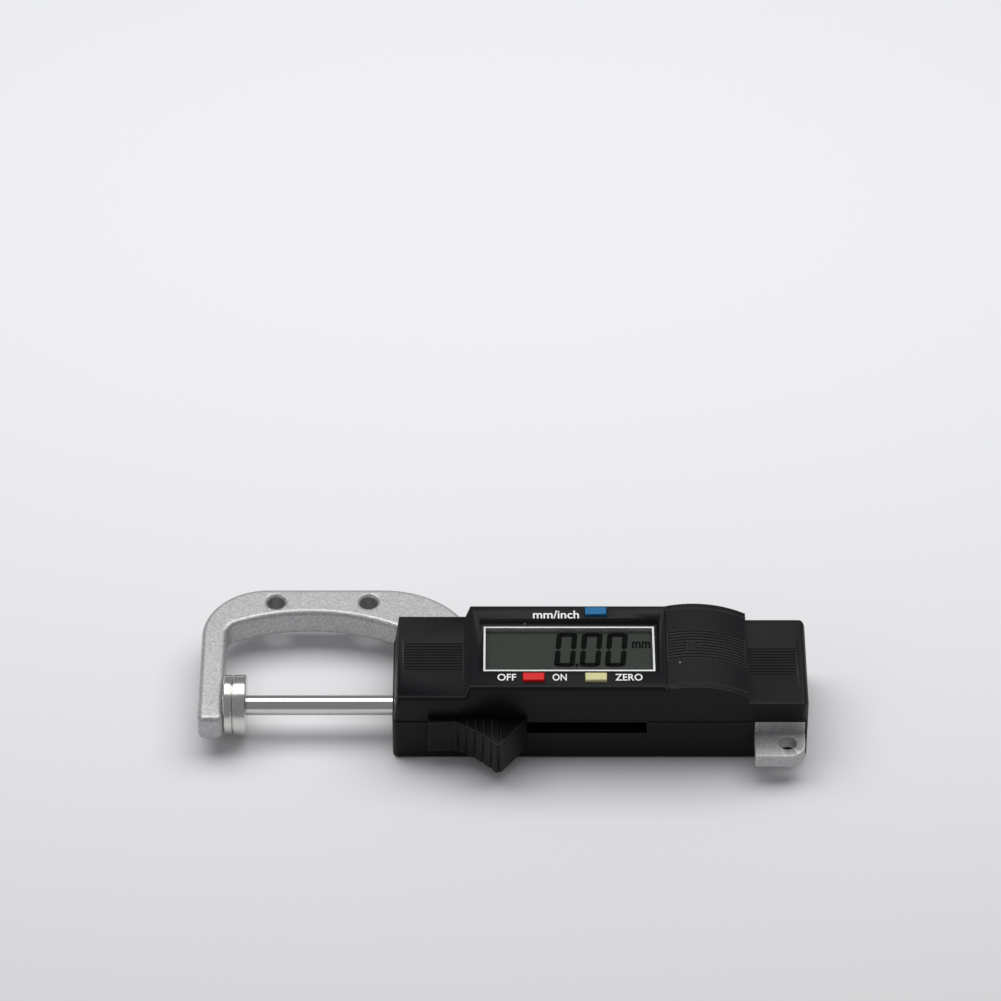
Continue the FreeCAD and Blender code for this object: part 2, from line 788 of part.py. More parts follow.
def make_button(label, x, y):
    """Push button: rounded cap, retaining flange under the housing and a stem to its dome."""
    body = new_body(label)
    cap_x = (x + " - button_long / 2", x + " + button_long / 2")
    cap_y = (y + " - button_wide / 2", y + " + button_wide / 2")
    ceiling = "display_top - face_wall"
    cap_top = "display_top + button_proud"
    box(body, "Additive", label + "_cap", cap_x, cap_y, (ceiling + " - 0.2", cap_top))
    top = size("display_top") + size("button_proud")
    round_edges(body, label + "_edge", "0.3", lambda x, y, z: near(z, top))
    inward = y + (" + 1.5" if "low" in y else " - 1.5")
    flange_y = (cap_y[0], inward) if "low" in y else (inward, cap_y[1])
    box(
        body, "Additive", label + "_flange", (cap_x[0] + " - 0.6", cap_x[1] + " + 0.6"), flange_y,
        (ceiling + " - 0.8", ceiling),
    )
    dome = "board_low + board_thick + dome_height + button_travel + 0.05"
    stem = "%s - 0.4 - (%s)" % (ceiling, dome)
    cylinder(body, "Additive", label + "_stem", "dome_radius", (x, y, dome), stem)


def make_battery():
    """Button cell with its stepped cap, and the two contacts in the battery well."""
    cell = new_body("battery")
    centre = ("cell_x", "case_middle")
    cylinder(cell, "Additive", "can", "cell_radius", (*centre, "cell_low + 0.5"), "cell_thick - 0.5")
    cylinder(cell, "Additive", "cap", "cell_radius - 1", (*centre, "cell_low"), "1")
    plus = new_body("battery_contact_plus")
    side = "cell_x + cell_radius"
    box(
        plus, "Additive", "plus_blade", (side, side + " + 0.25"),
        ("case_middle - 1.5", "case_middle + 1.5"), ("well_floor", "cell_low + 3.4"),
    )
    minus = new_body("battery_contact_minus")
    cylinder(minus, "Additive", "minus_leaf", "cell_radius - 2", (*centre, "well_floor"),
             "cell_low - well_floor")


# ---------------------------------------------------------------- carriage and thumb slide
def make_carriage():
    """Block clamped on the rod; it carries the encoder strip and the thumb slide."""
    body = new_body("carriage")
    box(
        body, "Additive", "carriage_block", ("carriage_left", "carriage_right"),
        ("-carriage_half", "carriage_half"), ("carriage_low", "carriage_top"),
    )
    start = ("carriage_left - 1", 0, 0)
    length = "carriage_right - carriage_left + 2"
    cylinder(body, "Subtractive", "rod_bore", "rod_radius + seat", start, length, ALONG_X)
    for number, x in enumerate(SLIDE_SCREWS):
        name = "slide_screw_hole_%d" % number
        start = (x, "slide_screw_y", "0")
        cylinder(body, "Subtractive", name, "small_screw_radius + seat", start, "4")
    cylinder(body, "Subtractive", "clamp_screw_hole", "small_screw_radius + seat",
             ("clamp_screw_x", 0, "carriage_low - 1"), "carriage_half - rod_radius + 0.2")


def make_thumb_slide():
    """Ribbed push piece outside the case, with a stem through the slot and a tongue inside."""
    body = new_body("thumb_slide")
    left, right, inner = size("slide_left"), size("slide_right"), size("slide_inner")
    bar, peak_x, peak_y = size("slide_bar"), size("slide_peak_x"), size("slide_peak_y")
    flank_start = (size("flank_start"), bar)
    flank_middle = (size("flank_mid_x"), size("flank_mid_y"))
    flank_end = (peak_x - 0.5, peak_y + 0.1)
    flank = Part.ArcOfCircle(
        *[FreeCAD.Vector(*point, 0) for point in (flank_start, flank_middle, flank_end)]
    )
    points = [
        (left, inner), (left, bar), flank_start,
        (*flank_middle, *flank_end),
        (peak_x + 0.1, peak_y, peak_x + 0.8, peak_y + 0.4),
        (right, inner - 0.4), (right, inner),
    ]
    drawing = outline(sketch(body, "slide_outline", "XY_Plane", "slide_low"), points)
    pad(body, "slide_form", drawing, "slide_top - slide_low")
    ends = (size("slide_low"), size("slide_top"))

    def outer_rim(x, y, z):
        return any(near(z, end) for end in ends) and y < inner - 0.01

    round_edges(body, "slide_edges", "0.3", outer_rim)
    for number in range(int(size("rib_count"))):
        x = size("rib_first") + number * size("rib_pitch")
        height = math.sqrt(flank.Radius**2 - (x - flank.Center.x) ** 2)
        flank_y = max(flank.Center.y + height, peak_y)
        across = "rib_first + %d * rib_pitch" % number
        rib_x = (across + " - rib_width / 2", across + " + rib_width / 2")
        box(
            body, "Subtractive", "rib_groove_%d" % number, rib_x,
            ("slide_peak_y - 1", "%.3f + rib_depth" % flank_y), ("slide_low - 1", "slide_top + 1"),
        )
        box(
            body, "Subtractive", "rib_top_%d" % number, rib_x,
            ("slide_peak_y - 1", "slide_inner + 1"), ("slide_top - rib_top_depth", "slide_top + 1"),
        )
    box(
        body, "Additive", "stem", ("stem_left", "stem_right"), ("slide_inner - 0.5", "-carriage_half"),
        ("slot_low + 0.2", "parting - 0.2"),
    )
    box(
        body, "Additive", "riser", ("stem_left + 1", "stem_right - 1"),
        ("-carriage_half - 2", "-carriage_half"), ("slot_low + 1", "carriage_top + tongue_thick_z"),
    )
    box(
        body, "Additive", "tongue", ("stem_left + 1", "stem_right - 1"),
        ("-carriage_half - 1", "tongue_high"), ("carriage_top", "carriage_top + tongue_thick_z"),
    )
    for number, x in enumerate(SLIDE_SCREWS):
        name = "tongue_hole_%d" % number
        start = (x, "slide_screw_y", "carriage_top")
        cylinder(body, "Subtractive", name, "small_screw_radius + 0.1", start, "3")


# ---------------------------------------------------------------- screws and spring
def make_screws(label, places, start, length, radius, head, thick):
    """Identical pan-head screws along +Z, each with a cross recess in its head."""
    solids, slots = [], []
    for number, (x, y) in enumerate(places):
        for name, size_text, base, height in (
            ("head", head, start, thick), ("shank", radius, start, length),
        ):
            made = doc.addObject("Part::Cylinder", "%s_%s_%d" % (label, name, number))
            bind(made, (x, y, base), Radius=size_text, Height=height)
            solids.append(made)
        for across, along in (("cross_wide", head), (head, "cross_wide")):
            made = doc.addObject("Part::Box", "%s_slot_%d" % (label, number))
            corner = ("%s - %s / 2" % (x, across), "%s - %s / 2" % (y, along), start)
            bind(made, corner, Length=across, Width=along, Height="cross_deep")
            slots.append(made)
    whole = doc.addObject("Part::MultiFuse", label + "_blanks")
    whole.Shapes = solids
    recesses = doc.addObject("Part::MultiFuse", label + "_recesses")
    recesses.Shapes = slots
    cut = doc.addObject("Part::Cut", label + "_cut")
    cut.Base = whole
    cut.Tool = recesses
    sub_part(cut, label)


def make_slide_screws():
    """Two small screws that hold the thumb slide's tongue on the carriage, heads uppermost."""
    solids = []
    for number, x in enumerate(SLIDE_SCREWS):
        head = doc.addObject("Part::Cylinder", "slide_screw_head_%d" % number)
        seat = (x, "slide_screw_y", "carriage_top + tongue_thick_z")
        bind(head, seat, Radius="0.9", Height="0.5")
        shank = doc.addObject("Part::Cylinder", "slide_screw_shank_%d" % number)
        start = (x, "slide_screw_y", "0.5")
        bind(shank, start, Radius="small_screw_radius", Height="carriage_top + 0.6")
        solids += [head, shank]
    fused = doc.addObject("Part::MultiFuse", "slide_screw_pair")
    fused.Shapes = solids
    sub_part(fused, "slide_screws")


def make_carriage_screw():
    """Grub screw that clamps the carriage on the rod from below."""
    shank = doc.addObject("Part::Cylinder", "grub_screw")
    start = ("clamp_screw_x", "0", "carriage_low + 0.05")
    bind(shank, start, Radius="small_screw_radius", Height="1.1")
    point = doc.addObject("Part::Cylinder", "grub_screw_point")
    bind(point, ("clamp_screw_x", "0", "-rod_radius - 0.1"), Radius="0.3", Height="0.08")
    fused = doc.addObject("Part::MultiFuse", "grub_screw_seat")
    fused.Shapes = [shank, point]
    sub_part(fused, "carriage_screw")


def make_return_spring():
    """Extension spring beside the rod: it pulls the carriage back towards the anvil."""
    wire, coil, pitch, turns = 0.3, 0.85, 0.45, 26
    start, y, z = size("block_right") + 0.5, 5.6, -1.2
    helix = Part.makeHelix(pitch, pitch * turns, coil)
    section = Part.Wire(
        [Part.Circle(FreeCAD.Vector(coil, 0, 0), FreeCAD.Vector(0, 1, 0), wire / 2).toShape()]
    )
    solid = Part.Wire(helix.Edges).makePipeShell([section], True, True)
    made = doc.addObject("Part::Feature", "return_spring_coil")
    turn = FreeCAD.Placement(FreeCAD.Vector(start, y, z), ALONG_X)
    solid.Placement = turn.multiply(solid.Placement)
    made.Shape = solid
    made.Label = "return_spring"
    made.Placement = FreeCAD.Placement(
        FreeCAD.Vector(-size("origin_x"), -size("origin_y"), -size("origin_z")), FreeCAD.Rotation()
    ).multiply(made.Placement)
    sub_parts.append(made)


# ---------------------------------------------------------------- build
make_frame()
make_anvil()
make_spindle_tip()
make_spindle_rod()
make_ring("front_bush", "block_left", "block_right - block_left", "bush_radius",
          "rod_radius + running")
make_ring("rear_bush", "rear_left", "rear_right - rear_left", "bush_radius",
          "rod_radius + running")
make_ring("rod_wiper", "case_left + back_wall", "block_left - case_left - back_wall",
          "bush_radius - 0.1", "rod_radius + 0.08")
make_front_housing()
make_back_cover()
make_battery_cover()
make_display()
make_electronics()
for button, (button_x, button_y) in BUTTONS.items():
    make_button(button, button_x, button_y)
make_battery()
make_carriage()
make_thumb_slide()
make_screws("case_screws", CASE_SCREWS, "case_back + 0.15", "case_screw_long", "screw_radius",
            "screw_head", "screw_head_thick")
make_screws("board_screws", BOARD_SCREWS, "board_low - 0.6", "board_screw_long",
            "small_screw_radius", "small_screw_head", "0.6")
make_slide_screws()
make_carriage_screw()
make_return_spring()
doc.recompute()

for thing in doc.Objects:
    if "Invalid" in thing.State or "Error" in thing.State:
        raise RuntimeError("%s failed to build: %s" % (thing.Name, thing.getStatusString()))
for thing in sub_parts:
    if thing.Shape.isNull() or not thing.Shape.isValid():
        raise RuntimeError("%s has no valid shape" % thing.Label)

os.makedirs("parts", exist_ok=True)
for thing in sub_parts:
    thing.Shape.exportStep("parts/%s.step" % thing.Label)
    print(thing.Label, len(thing.Shape.Solids), "solids, volume %.2f" % thing.Shape.Volume)
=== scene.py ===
import math

import bpy
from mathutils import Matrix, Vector


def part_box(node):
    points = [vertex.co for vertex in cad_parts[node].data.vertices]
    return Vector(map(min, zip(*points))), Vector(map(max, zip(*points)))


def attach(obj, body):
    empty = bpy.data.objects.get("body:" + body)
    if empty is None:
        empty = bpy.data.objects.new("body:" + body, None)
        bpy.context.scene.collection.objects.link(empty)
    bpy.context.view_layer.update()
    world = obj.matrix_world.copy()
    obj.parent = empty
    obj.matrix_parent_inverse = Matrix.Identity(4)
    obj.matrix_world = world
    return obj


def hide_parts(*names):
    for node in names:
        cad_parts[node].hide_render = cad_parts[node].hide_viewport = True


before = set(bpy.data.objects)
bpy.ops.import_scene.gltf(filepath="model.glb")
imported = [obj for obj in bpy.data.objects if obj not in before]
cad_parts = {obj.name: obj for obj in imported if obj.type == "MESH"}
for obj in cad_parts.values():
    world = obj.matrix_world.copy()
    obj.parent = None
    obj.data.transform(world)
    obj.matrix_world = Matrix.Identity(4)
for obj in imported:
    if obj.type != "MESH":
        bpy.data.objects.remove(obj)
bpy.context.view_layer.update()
MM = 0.001

# Camera. A long lens looks down on the micrometer from the front, with the tool in the lower
# half of the picture.
elevation = math.radians(42.8)
camera_reach = 1.1386
aim = Vector((-0.4 * MM, 60.3 * MM, 0))
bpy.ops.object.camera_add(
    location=aim + camera_reach * Vector((0, -math.cos(elevation), math.sin(elevation))),
    rotation=(math.pi / 2 - elevation, 0, 0),
)
camera = bpy.context.object
camera.name = "camera"
camera.data.lens = 195
camera.data.sensor_width = 36
bpy.context.scene.camera = camera

# Studio. A pale sheet of board, a wide soft box straight above, a weaker one at the front left
# and a dim grey room.
bpy.ops.mesh.primitive_plane_add(size=8, location=(0, 0, 0))
floor = bpy.context.object
floor.name = "floor"
board = bpy.data.materials.new("pale_board")
board.use_nodes = True
shader = board.node_tree.nodes["Principled BSDF"]
shader.inputs["Base Color"].default_value = (0.8, 0.8, 0.81, 1)
shader.inputs["Roughness"].default_value = 0.7
floor.data.materials.append(board)


def soft_box(name, place, look_at, width, depth, watts):
    bpy.ops.object.light_add(type="AREA", location=place)
    lamp = bpy.context.object
    lamp.name = name
    lamp.data.shape = "RECTANGLE"
    lamp.data.size = width
    lamp.data.size_y = depth
    lamp.data.energy = watts
    way = Vector(look_at) - Vector(place)
    lamp.rotation_euler = way.to_track_quat("-Z", "Y").to_euler()


soft_box("overhead_box", (0, 0.17, 0.42), (0, 0.17, 0), 0.8, 0.36, 2.4)
soft_box("front_left_box", (-0.7, -0.5, 0.6), (0, 0, 0), 0.4, 0.4, 0.3)
room = bpy.data.worlds.new("studio_room")
room.use_nodes = True
room.node_tree.nodes["Background"].inputs["Color"].default_value = (0.8, 0.82, 0.85, 1)
room.node_tree.nodes["Background"].inputs["Strength"].default_value = 0.32
bpy.context.scene.world = room
bpy.context.scene.view_settings.view_transform = "Standard"


# Bow. The frame is a zinc die casting sprayed with silver paint. A softened copy of the node
# stands for it: doubles merged, small sharp edges broken, curves shaded smooth.
def select_only(piece):
    bpy.ops.object.select_all(action="DESELECT")
    piece.select_set(True)
    bpy.context.view_layer.objects.active = piece


def softened(node, edge=0.0, smooth_angle=32):
    """A merged copy of a node with its sharp edges broken by a bevel of that width."""
    piece = bpy.data.objects.new(node + "_finish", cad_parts[node].data.copy())
    bpy.context.scene.collection.objects.link(piece)
    select_only(piece)
    bpy.ops.object.mode_set(mode="EDIT")
    bpy.ops.mesh.select_all(action="SELECT")
    bpy.ops.mesh.remove_doubles(threshold=0.002 * MM)
    flat = math.radians(0.5)
    bpy.ops.mesh.tris_convert_to_quads(face_threshold=flat, shape_threshold=flat)
    bpy.ops.object.mode_set(mode="OBJECT")
    if edge:
        bevel = piece.modifiers.new("broken_edges", "BEVEL")
        bevel.width = edge
        bevel.segments = 2
        bevel.limit_method = "ANGLE"
        bevel.angle_limit = math.radians(35)
        bevel.use_clamp_overlap = False
        bpy.ops.object.modifier_apply(modifier=bevel.name)
    bpy.ops.object.shade_smooth_by_angle(angle=math.radians(smooth_angle))
    weighted = piece.modifiers.new("flat_faces_flat", "WEIGHTED_NORMAL")
    weighted.keep_sharp = True
    bpy.ops.object.modifier_apply(modifier=weighted.name)
    piece.data.materials.clear()
    return piece


def dress(piece, material, body, node=None):
    """Gives a finished piece its material, its body and the node that it stands for."""
    piece.data.materials.clear()
    piece.data.materials.append(material)
    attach(piece, body)
    if node:
        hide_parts(node)


def new_material(name, colour, roughness, metallic=0.0):
    material = bpy.data.materials.new(name)
    material.use_nodes = True
    surface = material.node_tree.nodes["Principled BSDF"]
    surface.inputs["Base Color"].default_value = (*colour, 1)
    surface.inputs["Roughness"].default_value = roughness
    surface.inputs["Metallic"].default_value = metallic
    return material, material.node_tree, surface


def new_group(name, takes, gives):
    """An empty node group with float inputs and named outputs; returns it and its two ends."""
    group = bpy.data.node_groups.new(name, "ShaderNodeTree")
    for label in takes:
        group.interface.new_socket(label, in_out="INPUT", socket_type="NodeSocketFloat")
    for label in gives:
        group.interface.new_socket(label, in_out="OUTPUT", socket_type="NodeSocketFloat")
    start = group.nodes.new("NodeGroupInput")
    end = group.nodes.new("NodeGroupOutput")
    return group, start, end


def add_group(tree, group, **values):
    node = tree.nodes.new("ShaderNodeGroup")
    node.node_tree = group
    for label, value in values.items():
        node.inputs[label.replace("_", " ")].default_value = value
    return node


def maths(tree, operation, first, second):
    """A maths node on a socket and a number or another socket."""
    node = tree.nodes.new("ShaderNodeMath")
    node.operation = operation
    for place, value in enumerate((first, second)):
        if isinstance(value, (int, float)):
            node.inputs[place].default_value = value
        else:
            tree.links.new(value, node.inputs[place])
    return node.outputs["Value"]


def tinted(tree, mask, low, high):
    """A colour that goes from low to high as the mask goes from 0 to 1."""
    ramp = tree.nodes.new("ShaderNodeMix")
    ramp.data_type = "RGBA"
    ramp.inputs["A"].default_value = (*low, 1)
    ramp.inputs["B"].default_value = (*high, 1)
    tree.links.new(mask, ramp.inputs["Factor"])
    return ramp.outputs["Result"]


def colour_from(tree, surface, mask, low, high):
    tree.links.new(tinted(tree, mask, low, high), surface.inputs["Base Color"])


def bump_from(tree, surface, height, distance, strength=1.0, over=None):
    """Feeds a height to the surface's normal, over a rounded normal where one is given."""
    bump = tree.nodes.new("ShaderNodeBump")
    bump.inputs["Strength"].default_value = strength
    bump.inputs["Distance"].default_value = distance
    tree.links.new(height, bump.inputs["Height"])
    if over:
        tree.links.new(over, bump.inputs["Normal"])
    tree.links.new(bump.outputs["Normal"], surface.inputs["Normal"])


def roughness_from(tree, surface, mask, spread, least):
    """A roughness that goes from least to least + spread as the mask goes from 0 to 1."""
    rough = maths(tree, "ADD", maths(tree, "MULTIPLY", mask, spread), least)
    tree.links.new(rough, surface.inputs["Roughness"])


# Grain: fine noise in the piece's own coordinates, as spark-eroded moulds and sprayed paint have.
grain, ends_in, ends_out = new_group("surface_grain", ["Size", "Softness"], ["Grain", "Patches"])
coordinates = grain.nodes.new("ShaderNodeTexCoord")
fine = grain.nodes.new("ShaderNodeTexNoise")
fine.inputs["Detail"].default_value = 2
grain.links.new(coordinates.outputs["Object"], fine.inputs["Vector"])
grain.links.new(maths(grain, "DIVIDE", 1.0, ends_in.outputs["Size"]), fine.inputs["Scale"])
grain.links.new(ends_in.outputs["Softness"], fine.inputs["Roughness"])
broad = grain.nodes.new("ShaderNodeTexNoise")
broad.inputs["Scale"].default_value = 90
broad.inputs["Detail"].default_value = 4
grain.links.new(coordinates.outputs["Object"], broad.inputs["Vector"])
grain.links.new(fine.outputs["Fac"], ends_out.inputs["Grain"])
grain.links.new(broad.outputs["Fac"], ends_out.inputs["Patches"])

# Edge: how close a point is to a convex edge, broken up a little, for worn edges and for
# highlights painted along edges, and the normal of that edge if it were rounded.
edge_wear_and_highlight, ends_in, ends_out = new_group("edge_wear_and_highlight", ["Reach", "Breakup"], ["Edge"])
edge_wear_and_highlight.interface.new_socket("Rounded", in_out="OUTPUT", socket_type="NodeSocketVector")
rounded = edge_wear_and_highlight.nodes.new("ShaderNodeBevel")
rounded.samples = 6
edge_wear_and_highlight.links.new(ends_in.outputs["Reach"], rounded.inputs["Radius"])
edge_wear_and_highlight.links.new(rounded.outputs["Normal"], ends_out.inputs["Rounded"])
shape = edge_wear_and_highlight.nodes.new("ShaderNodeNewGeometry")
agree = edge_wear_and_highlight.nodes.new("ShaderNodeVectorMath")
agree.operation = "DOT_PRODUCT"
edge_wear_and_highlight.links.new(rounded.outputs["Normal"], agree.inputs[0])
edge_wear_and_highlight.links.new(shape.outputs["Normal"], agree.inputs[1])
bent = edge_wear_and_highlight.nodes.new("ShaderNodeMapRange")
bent.inputs["From Min"].default_value = 0.995
bent.inputs["From Max"].default_value = 0.86
edge_wear_and_highlight.links.new(agree.outputs["Value"], bent.inputs["Value"])
coordinates = edge_wear_and_highlight.nodes.new("ShaderNodeTexCoord")
breaks = edge_wear_and_highlight.nodes.new("ShaderNodeTexNoise")
breaks.inputs["Scale"].default_value = 900
edge_wear_and_highlight.links.new(coordinates.outputs["Object"], breaks.inputs["Vector"])
kept = maths(edge_wear_and_highlight, "MULTIPLY", breaks.outputs["Fac"], ends_in.outputs["Breakup"])
edge_wear_and_highlight.links.new(
    maths(edge_wear_and_highlight, "MULTIPLY", bent.outputs["Result"], maths(edge_wear_and_highlight, "SUBTRACT", 1.0, kept)),
    ends_out.inputs["Edge"],
)

# Dust: a few pale specks where cells of a coarse lattice happen to hold one.
dust, ends_in, ends_out = new_group("dust_specks", ["Spacing", "Amount"], ["Dust"])
coordinates = dust.nodes.new("ShaderNodeTexCoord")
cells = dust.nodes.new("ShaderNodeTexVoronoi")
dust.links.new(coordinates.outputs["Object"], cells.inputs["Vector"])
dust.links.new(maths(dust, "DIVIDE", 1.0, ends_in.outputs["Spacing"]), cells.inputs["Scale"])
chosen = dust.nodes.new("ShaderNodeSeparateColor")
dust.links.new(cells.outputs["Color"], chosen.inputs["Color"])
rare = maths(dust, "LESS_THAN", chosen.outputs["Red"], ends_in.outputs["Amount"])
near_middle = maths(dust, "LESS_THAN", cells.outputs["Distance"], 0.09)
dust.links.new(maths(dust, "MULTIPLY", rare, near_middle), ends_out.inputs["Dust"])

silver_paint, tree, surface = new_material("silver_paint", (0.5, 0.5, 0.5), 0.42, 0.6)
flakes = tree.nodes.new("ShaderNodeTexVoronoi")
flakes.inputs["Scale"].default_value = 5200
coordinates = tree.nodes.new("ShaderNodeTexCoord")
tree.links.new(coordinates.outputs["Object"], flakes.inputs["Vector"])
flake_parts = tree.nodes.new("ShaderNodeSeparateColor")
tree.links.new(flakes.outputs["Color"], flake_parts.inputs["Color"])
paint_grain = add_group(tree, grain, Size=0.25 * MM, Softness=0.6)
paint_edge = add_group(tree, edge_wear_and_highlight, Reach=0.35 * MM, Breakup=0.5)
sparkle = tinted(tree, flake_parts.outputs["Red"], (0.34, 0.34, 0.345), (0.58, 0.58, 0.58))
# The paint's colour is mixed paler towards convex edges.
paler_edges = tree.nodes.new("ShaderNodeMix")
paler_edges.data_type = "RGBA"
paler_edges.inputs["B"].default_value = (0.74, 0.74, 0.73, 1)
tree.links.new(sparkle, paler_edges.inputs["A"])
tree.links.new(maths(tree, "MULTIPLY", paint_edge.outputs["Edge"], 0.5), paler_edges.inputs["Factor"])
tree.links.new(paler_edges.outputs["Result"], surface.inputs["Base Color"])
roughness_from(tree, surface, paint_grain.outputs["Patches"], 0.16, 0.32)
bump_from(tree, surface, paint_grain.outputs["Grain"], 0.012 * MM, 0.8)
dress(softened("frame", 0.1 * MM), silver_paint, "body", "frame")


# Anvil and spindle tip. Two hardened steel discs, turned and lapped; the tip is pressed on the
# rod's spigot and meets the anvil when the jaws are closed.
def turned_marks(tree, along, across, detail):
    """Noise squeezed along the spindle, like the marks that turning and grinding leave."""
    coordinates = tree.nodes.new("ShaderNodeTexCoord")
    squeeze = tree.nodes.new("ShaderNodeMapping")
    squeeze.inputs["Scale"].default_value = (along, across, across)
    noise = tree.nodes.new("ShaderNodeTexNoise")
    noise.inputs["Scale"].default_value = 1
    noise.inputs["Detail"].default_value = detail
    tree.links.new(coordinates.outputs["Object"], squeeze.inputs["Vector"])
    tree.links.new(squeeze.outputs["Vector"], noise.inputs["Vector"])
    return noise


lapped_steel, tree, surface = new_material("lapped_steel", (0.7, 0.69, 0.66), 0.2, 1.0)
rings = turned_marks(tree, 9000, 260, 3)
colour_from(tree, surface, rings.outputs["Fac"], (0.6, 0.59, 0.56), (0.76, 0.75, 0.72))
roughness_from(tree, surface, rings.outputs["Fac"], 0.16, 0.12)
bump_from(tree, surface, rings.outputs["Fac"], 0.004 * MM, 0.6)
dress(softened("anvil", 0.06 * MM), lapped_steel, "body", "anvil")
dress(softened("spindle_tip", 0.06 * MM), lapped_steel, "spindle", "spindle_tip")

# Spindle rod. Centreless-ground steel, polished, so its marks run round it and are very fine.
ground_steel, tree, surface = new_material("ground_steel", (0.66, 0.66, 0.65), 0.13, 1.0)
marks = turned_marks(tree, 14000, 200, 2)
roughness_from(tree, surface, marks.outputs["Fac"], 0.12, 0.07)
bump_from(tree, surface, marks.outputs["Fac"], 0.002 * MM, 0.5)
dress(softened("spindle_rod", 0.05 * MM), ground_steel, "spindle", "spindle_rod")

# Guides. Two sintered bronze bushes pressed in the casting's blocks and a felt ring in front of
# them. They stay as the CAD nodes.
bronze, tree, surface = new_material("sintered_bronze", (0.5, 0.34, 0.14), 0.4, 1.0)
bronze_grain = add_group(tree, grain, Size=0.2 * MM, Softness=0.7)
colour_from(tree, surface, bronze_grain.outputs["Grain"], (0.36, 0.23, 0.09), (0.62, 0.44, 0.2))
bump_from(tree, surface, bronze_grain.outputs["Grain"], 0.02 * MM)
felt, tree, surface = new_material("felt_ring", (0.1, 0.1, 0.1), 0.95)
felt_grain = add_group(tree, grain, Size=0.12 * MM, Softness=0.8)
colour_from(tree, surface, felt_grain.outputs["Grain"], (0.04, 0.04, 0.04), (0.2, 0.19, 0.18))
bump_from(tree, surface, felt_grain.outputs["Grain"], 0.06 * MM)


def finish_node(node, material):
    """A CAD node that stays, with a better material."""
    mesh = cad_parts[node].data
    mesh.materials.clear()
    mesh.materials.append(material)


finish_node("front_bush", bronze)
finish_node("rear_bush", bronze)
finish_node("rod_wiper", felt)

# Carriage. A machined aluminium block clamped on the rod by a grub screw, with the return spring
# beside it.
machined, tree, surface = new_material("machined_aluminium", (0.6, 0.61, 0.62), 0.35, 1.0)
cut_marks = add_group(tree, grain, Size=0.3 * MM, Softness=0.4)
roughness_from(tree, surface, cut_marks.outputs["Grain"], 0.3, 0.2)
bump_from(tree, surface, cut_marks.outputs["Grain"], 0.01 * MM)
finish_node("carriage", machined)
spring_steel, tree, surface = new_material("spring_steel", (0.55, 0.55, 0.54), 0.3, 1.0)
drawn = add_group(tree, grain, Size=0.15 * MM, Softness=0.5)
roughness_from(tree, surface, drawn.outputs["Grain"], 0.2, 0.2)
for node in ("return_spring", "switch_domes", "battery_contact_plus", "battery_contact_minus"):
    finish_node(node, spring_steel)

# Screws. Small pan heads with a cross recess, chemically blackened.
black_oxide, tree, surface = new_material("black_oxide", (0.08, 0.08, 0.085), 0.35, 1.0)
oxide = add_group(tree, grain, Size=0.3 * MM, Softness=0.6)
oxide_edge = add_group(tree, edge_wear_and_highlight, Reach=0.1 * MM, Breakup=0.6)
colour_from(tree, surface, oxide_edge.outputs["Edge"], (0.07, 0.07, 0.075), (0.4, 0.4, 0.39))
bump_from(tree, surface, oxide.outputs["Grain"], 0.008 * MM)
for node in ("board_screws", "slide_screws", "carriage_screw"):
    finish_node(node, black_oxide)
dress(softened("case_screws", 0.08 * MM), black_oxide, "body", "case_screws")

# Electronics. A green board with its processor, the conductive strips that feed the display and
# the encoder's strip on the carriage; all closed in.
solder_mask, tree, surface = new_material("solder_mask", (0.01, 0.12, 0.04), 0.3)
mask_grain = add_group(tree, grain, Size=0.6 * MM, Softness=0.5)
colour_from(tree, surface, mask_grain.outputs["Grain"], (0.006, 0.08, 0.025), (0.02, 0.2, 0.07))
finish_node("circuit_board", solder_mask)
finish_node("encoder_strip", solder_mask)
soft_black, tree, surface = new_material("moulded_epoxy", (0.02, 0.02, 0.02), 0.6)
epoxy = add_group(tree, grain, Size=0.1 * MM, Softness=0.5)
bump_from(tree, surface, epoxy.outputs["Grain"], 0.01 * MM)
finish_node("processor_chip", soft_black)
finish_node("contact_strips", soft_black)

# Display panel. Reflective grey-green liquid crystal glass behind a clear window, in a bright
# foil ring. The panel stays as its node; the figures are laid just above it.
panel, tree, surface = new_material("display_panel", (0.06, 0.066, 0.055), 0.5)
surface.inputs["Specular IOR Level"].default_value = 0.05
panel_grain = add_group(tree, grain, Size=0.5 * MM, Softness=0.4)
colour_from(
    tree, surface, panel_grain.outputs["Patches"], (0.05, 0.055, 0.05), (0.062, 0.066, 0.057),
)
finish_node("lcd_panel", panel)
window = bpy.data.materials.new("clear_window")
window.use_nodes = True
tree = window.node_tree
tree.nodes.clear()
through = tree.nodes.new("ShaderNodeBsdfTransparent")
through.inputs["Color"].default_value = (0.96, 0.97, 0.96, 1)
mirror = tree.nodes.new("ShaderNodeBsdfGlossy")
mirror.inputs["Color"].default_value = (0.2, 0.2, 0.2, 1)
mirror.inputs["Roughness"].default_value = 0.04
facing = tree.nodes.new("ShaderNodeFresnel")
facing.inputs["IOR"].default_value = 1.49
side = tree.nodes.new("ShaderNodeNewGeometry")
outer = maths(tree, "SUBTRACT", 1.0, side.outputs["Backfacing"])
both = tree.nodes.new("ShaderNodeMixShader")
output = tree.nodes.new("ShaderNodeOutputMaterial")
tree.links.new(maths(tree, "MULTIPLY", facing.outputs["Fac"], outer), both.inputs["Fac"])
tree.links.new(through.outputs["BSDF"], both.inputs[1])
tree.links.new(mirror.outputs["BSDF"], both.inputs[2])
tree.links.new(both.outputs["Shader"], output.inputs["Surface"])
finish_node("display_window", window)
foil, tree, surface = new_material("bright_foil", (0.72, 0.72, 0.71), 0.3, 0.6)
foil_grain = add_group(tree, grain, Size=2 * MM, Softness=0.5)
roughness_from(tree, surface, foil_grain.outputs["Patches"], 0.06, 0.27)
dress(softened("display_bezel", 0.04 * MM), foil, "body", "display_bezel")

